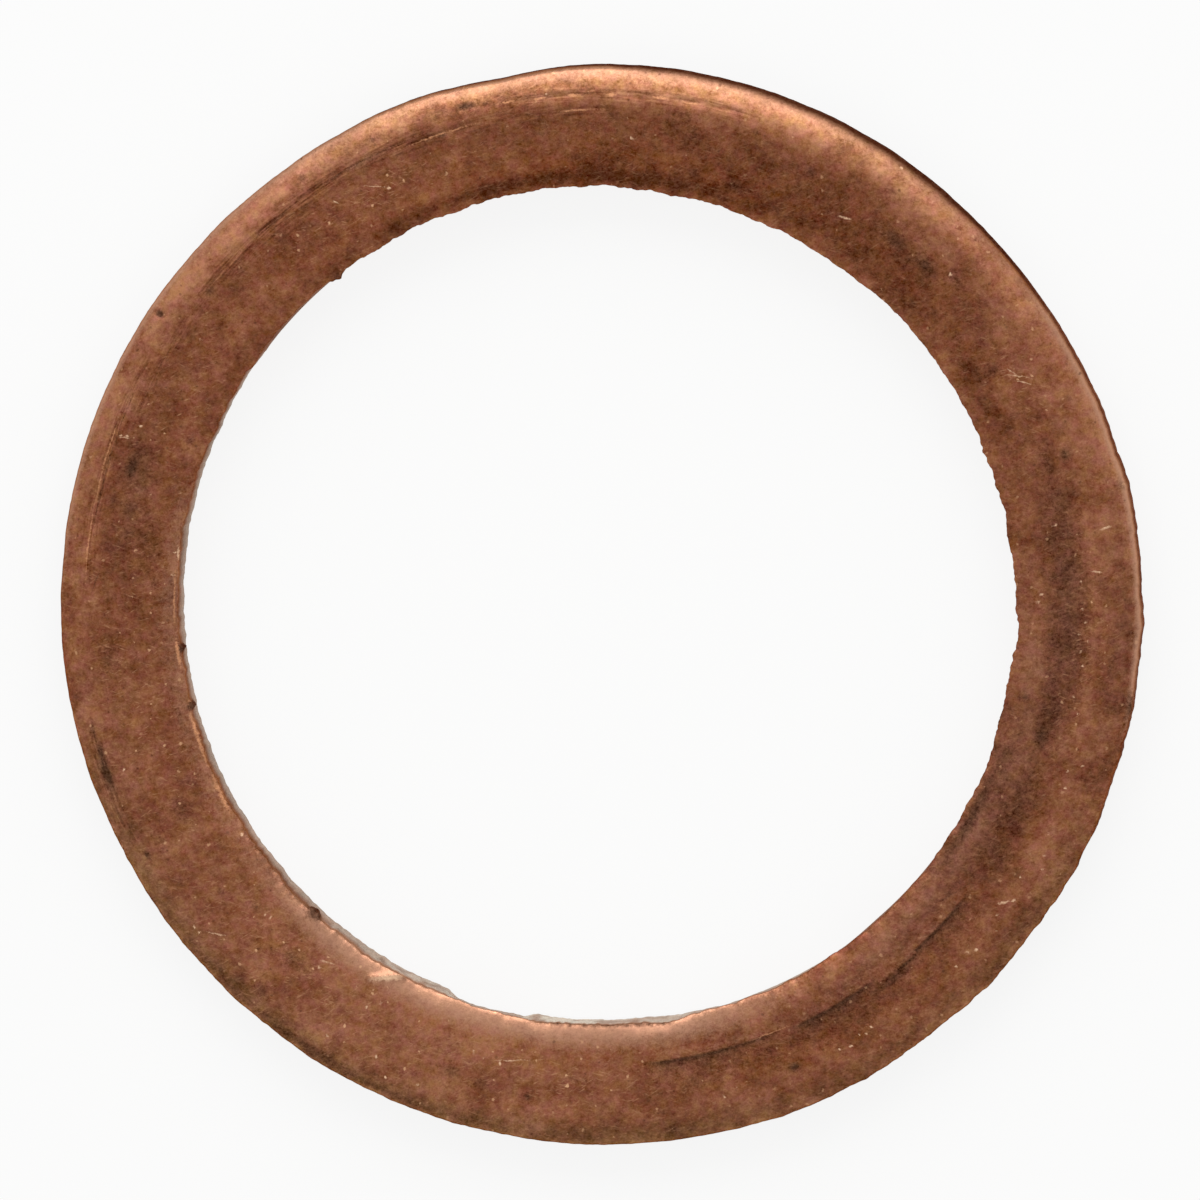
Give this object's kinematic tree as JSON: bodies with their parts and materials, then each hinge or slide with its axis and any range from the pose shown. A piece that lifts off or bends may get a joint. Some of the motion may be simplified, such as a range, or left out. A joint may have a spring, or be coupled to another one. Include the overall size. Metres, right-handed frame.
{
  "type": "copper crush washer",
  "caption": "Flat copper crush washer: a soft stamped sealing ring with rolled upper edges, for the seat under a screwed plug or banjo fitting.",
  "frame": {"origin": "on the bore axis, at the lower seat that the ring lies on", "axes": "+Z along the bore axis, from the lower seat to the upper seat with the rolled edges"},
  "size_m": [0.026, 0.026, 0.0015],
  "materials": {
    "copper": "tarnished brown copper, satin, with burnished edges and fine scratches"
  },
  "bodies": {
    "root": {"copper_washer": "copper"}
  },
  "joints": []
}
